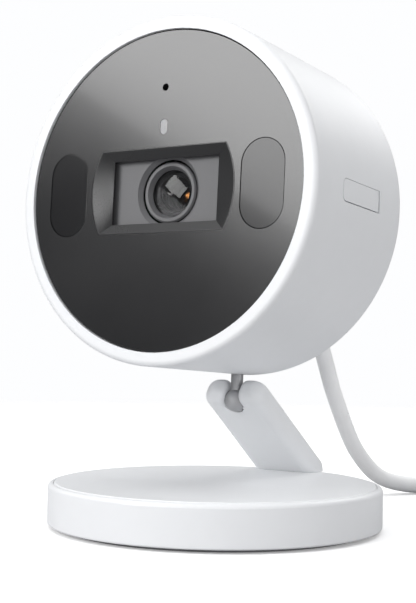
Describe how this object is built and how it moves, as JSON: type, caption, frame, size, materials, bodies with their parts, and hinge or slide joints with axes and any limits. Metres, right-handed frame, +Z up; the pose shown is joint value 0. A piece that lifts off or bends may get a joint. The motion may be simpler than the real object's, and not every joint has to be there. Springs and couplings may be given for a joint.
{
  "type": "desk security camera",
  "caption": "Small round desk camera: cylindrical head with dark front panel, two pill light windows, ball joint, slanted arm, weighted base and coiled USB cord.",
  "frame": {"origin": "middle of the base's underside, on the desk", "axes": "+Z up, the lens looks along -Y, +X to the side with the card bay"},
  "size_m": [0.1204, 0.1344, 0.0976],
  "materials": {
    "white_plastic": "satin moulded white, fine texture",
    "arm_plastic": "satin moulded white",
    "panel_plastic": "polished smoked acrylic",
    "window_plastic": "smoked translucent acrylic, faintly textured behind",
    "light_guide": "milky clear moulding",
    "hood_plastic": "fine satin dark grey",
    "plate_plastic": "satin mid grey",
    "barrel_plastic": "fine matte dark grey",
    "optical_glass": "coated, polished",
    "frame_plastic": "matte black moulding",
    "circuit_board": "solder-mask green laminate",
    "chip_black": "moulded epoxy",
    "led_yellow": "phosphor over a chip",
    "led_dark": "dark clear epoxy",
    "cup_white": "white reflector moulding",
    "screw_steel": "zinc plated",
    "spreader_aluminium": "stamped",
    "ballast_steel": "plated steel disc",
    "ball_steel": "satin nickel over steel",
    "bush_plastic": "self-lubricating acetal",
    "foot_rubber": "soft grey rubber",
    "cord_rubber": "smooth white cord jacket",
    "card_black": "black card body",
    "tape_black": "double-sided tape",
    "thermal_grey": "soft thermal pad",
    "socket_metal": "stamped shell",
    "connector_white": "nylon",
    "copper_film": "flexible printed copper"
  },
  "bodies": {
    "stand": {"base_shell": "white_plastic", "base_cover": "white_plastic", "ballast": "ballast_steel", "foot_pad": "foot_rubber", "base_screws": "screw_steel", "arm": "arm_plastic", "arm_screws": "screw_steel", "cord_lower": "cord_rubber", "cord_coil": "cord_rubber", "cord_tail": "cord_rubber", "plug_grip": "cord_rubber", "plug_shell": "socket_metal", "plug_tongue": "connector_white"},
    "ball": {"ball_stud": "ball_steel", "stud_washer": "screw_steel", "stud_screw": "screw_steel"},
    "head": {"antenna": "copper_film", "board_screws": "screw_steel", "card_board": "circuit_board", "card_socket": "socket_metal", "cord_gland": "cord_rubber", "cord_inner": "cord_rubber", "cord_upper": "cord_rubber", "frame_screws": "screw_steel", "front_frame": "frame_plastic", "front_lens": "optical_glass", "front_panel": "panel_plastic", "head_housing": "white_plastic", "heat_spreader": "spreader_aluminium", "image_sensor": "chip_black", "infrared_leds": "led_dark", "inner_lenses": "optical_glass", "lens_barrel": "barrel_plastic", "lens_hood": "hood_plastic", "lens_mount": "frame_plastic", "lens_plate": "plate_plastic", "light_board": "circuit_board", "light_cup_left": "cup_white", "light_cup_right": "cup_white", "light_window_left": "window_plastic", "light_window_right": "window_plastic", "main_board": "circuit_board", "microphone": "socket_metal", "microphone_gasket": "foot_rubber", "panel_tape": "tape_black", "power_connector": "connector_white", "processor": "chip_black", "reset_switch": "chip_black", "sensor_board": "circuit_board", "sensor_screws": "screw_steel", "speaker": "chip_black", "status_led": "led_yellow", "status_light_guide": "light_guide", "swivel_bush": "bush_plastic", "thermal_pad": "thermal_grey", "white_leds": "led_yellow"},
    "card_flap": {"card_cover": "white_plastic"},
    "card": {"memory_card": "card_black"},
    "reset": {"reset_button": "connector_white"},
    "filter": {"filter_slide": "led_dark"}
  },
  "joints": [
    {"name": "head_tilt", "type": "hinge", "parent": "stand", "child": "ball", "pos_m": [0, 0.00752, 0.0247], "axis": [1, 0, 0], "range_deg": [-25, 40], "deforming": ["cord_upper", "cord_lower"]},
    {"name": "head_pan", "type": "hinge", "parent": "ball", "child": "head", "pos_m": [0, 0.00752, 0.0247], "axis": [0, 0.0567, 0.9984], "range_deg": [-60, 60], "deforming": ["cord_upper"]},
    {"name": "card_cover_hinge", "type": "hinge", "parent": "head", "child": "card_flap", "pos_m": [0.03242, 0.00365, 0.06328], "axis": [0, 0.0567, 0.9984], "range_deg": [0, 85]},
    {"name": "card_push", "type": "slide", "parent": "head", "child": "card", "axis": [1, 0, 0], "range_m": [-0.0008, 0.0005]},
    {"name": "reset_press", "type": "slide", "parent": "head", "child": "reset", "axis": [-1, 0, 0], "range_m": [0, 0.0003], "stiffness_N_per_m": 300},
    {"name": "filter_shift", "type": "slide", "parent": "head", "child": "filter", "axis": [-1, 0, 0], "range_m": [0, 0.0062]}
  ]
}
